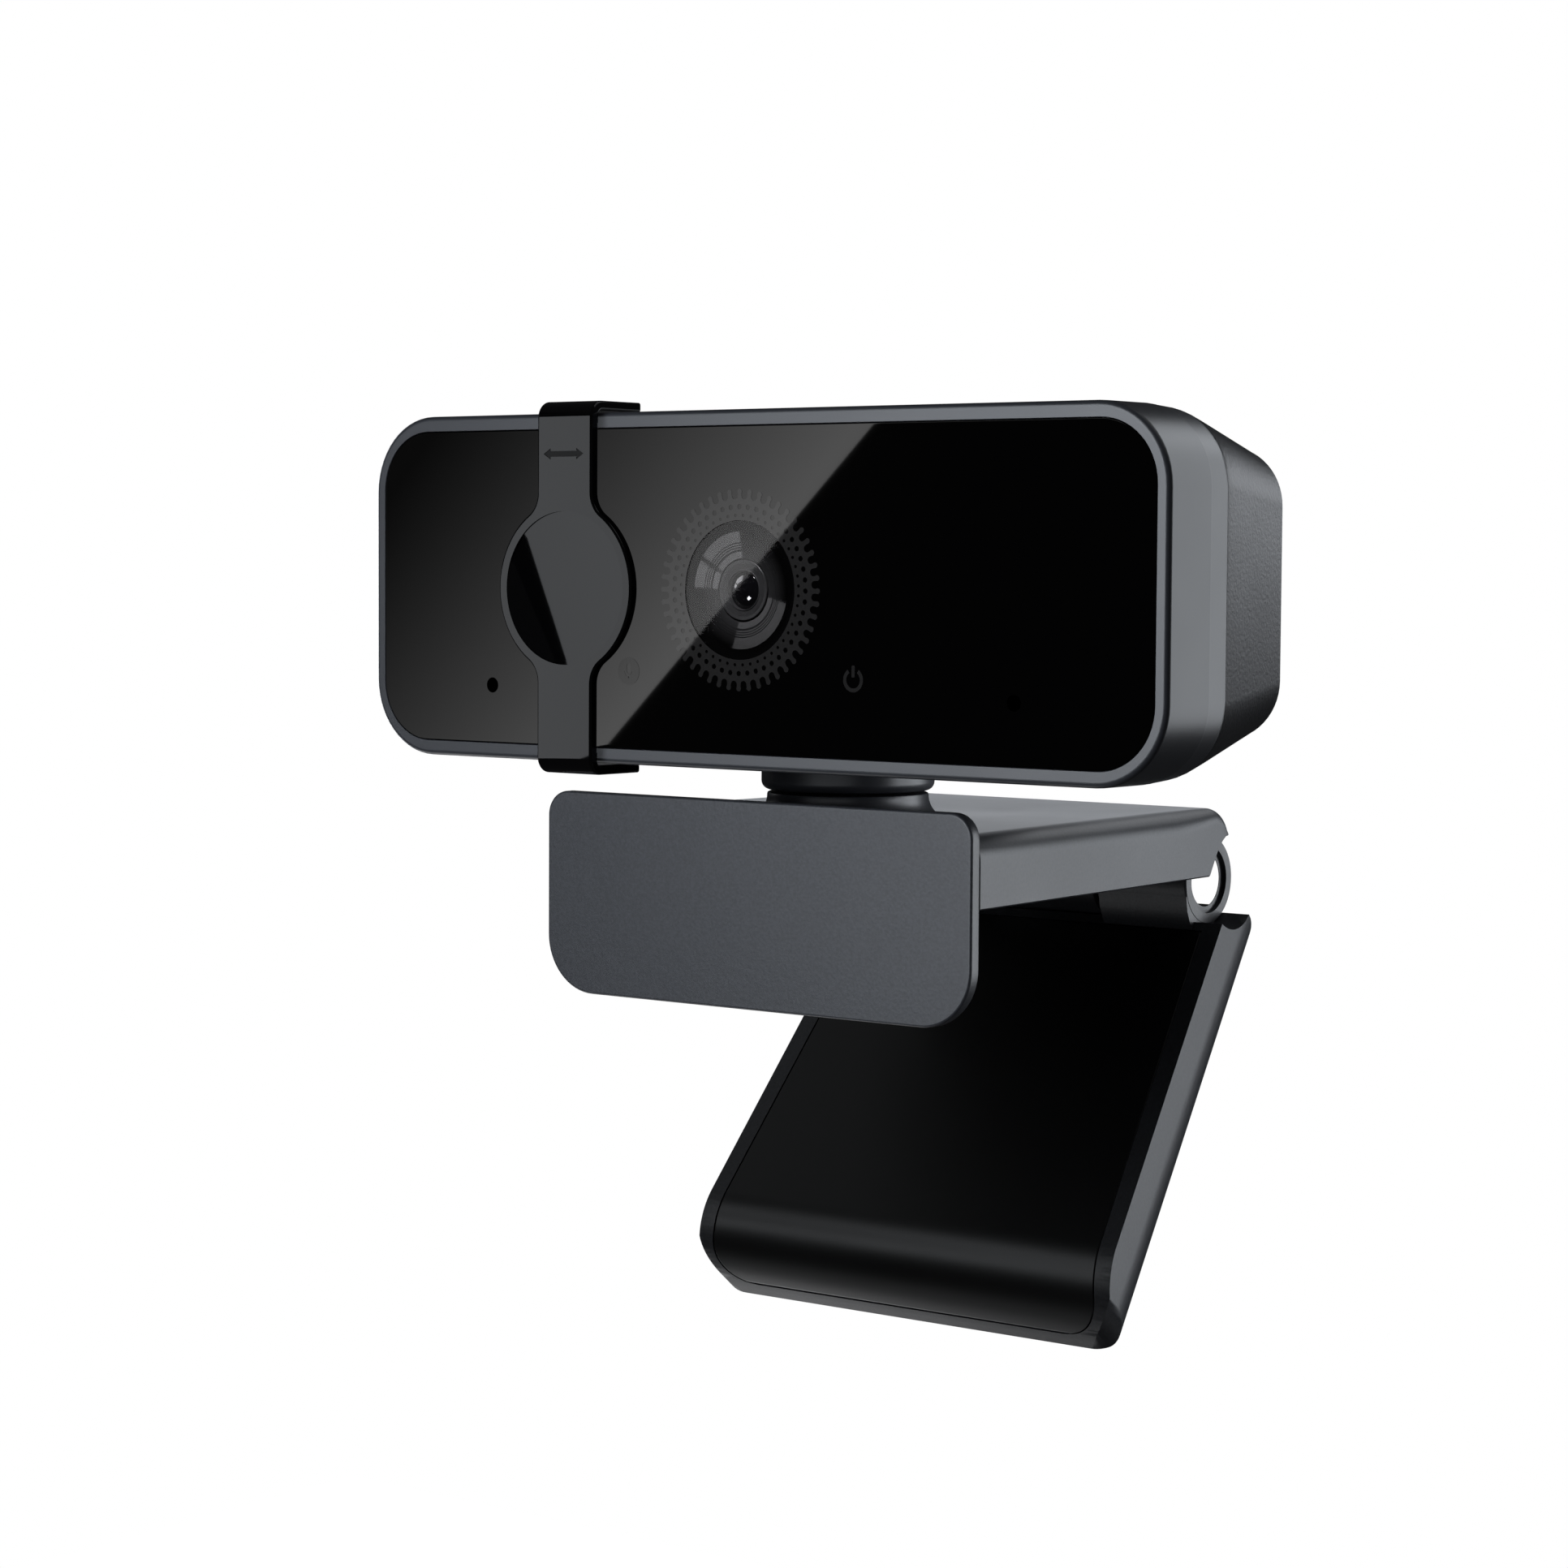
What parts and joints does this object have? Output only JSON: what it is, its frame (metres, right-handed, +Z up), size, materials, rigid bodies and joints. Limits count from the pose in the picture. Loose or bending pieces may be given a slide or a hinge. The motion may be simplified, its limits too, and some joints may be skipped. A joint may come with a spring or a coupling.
{
  "type": "clip-on webcam",
  "caption": "Wide rectangular webcam with a sliding lens cover, on a swivel neck over a folding clip that hangs on the top edge of a monitor.",
  "frame": {"origin": "middle of the clip's seat pad, on its lower face, where the monitor's top edge rests", "axes": "-Y is the way the lens looks, +Z is up, +X is to the right of someone facing the lens"},
  "size_m": [0.1, 0.0637, 0.0977],
  "materials": {
    "housing": "satin slate grey with a fine grain",
    "panel": "polished black",
    "window": "clear, smoked",
    "cover": "glossy dark grey",
    "black_plastic": "matte black",
    "rubber": "matte black",
    "steel": "bright zinc",
    "brass": "bare",
    "board": "green solder mask",
    "chip": "matte black",
    "diffuser": "smoked translucent"
  },
  "bodies": {
    "clip": {"arm_shell": "housing", "front_plate": "housing", "plate_strip": "rubber", "arm_cover": "black_plastic", "seat_pad": "rubber", "swivel_base": "housing", "pivot_screw": "steel", "spring_washer": "steel", "pivot_nut": "steel", "cover_screw_front_left": "steel", "cover_screw_rear_left": "steel", "cover_screw_front_right": "steel", "cover_screw_rear_right": "steel"},
    "head": {"head_frame": "housing", "rear_shell": "housing", "neck_collar": "housing", "front_panel": "panel", "lens_window": "window", "lens_element": "window", "lens_funnel": "black_plastic", "lens_barrel": "black_plastic", "lens_mount": "black_plastic", "cable_connector": "black_plastic", "cable_gland": "rubber", "microphone_gasket_left": "rubber", "microphone_gasket_right": "rubber", "shell_screw_upper_left": "steel", "shell_screw_lower_left": "steel", "shell_screw_upper_right": "steel", "shell_screw_lower_right": "steel", "microphone_left": "steel", "microphone_right": "steel", "touch_sensor_left": "brass", "touch_sensor_right": "brass", "main_board": "board", "microphone_board": "board", "image_sensor": "chip", "video_chip": "chip", "ring_diffuser": "diffuser", "status_led": "diffuser"},
    "cover": {"privacy_cover": "cover", "cover_liner": "rubber"},
    "leg": {"leg_frame": "housing", "leg_pad": "rubber", "hinge_pin": "steel", "hinge_washer_left": "steel", "hinge_washer_right": "steel"}
  },
  "joints": [
    {"name": "head_pan", "type": "hinge", "parent": "clip", "child": "head", "pos_m": [0, -0.00563, 0.01], "axis": [0, 0, 1], "range_deg": [-170, 170]},
    {"name": "privacy_slide", "type": "slide", "parent": "head", "child": "cover", "axis": [1, 0, 0], "range_m": [-0.0165, 0.06]},
    {"name": "leg_hinge", "type": "hinge", "parent": "clip", "child": "leg", "pos_m": [0, 0.033, -0.00055], "axis": [1, 0, 0], "range_deg": [-50, 120]}
  ]
}
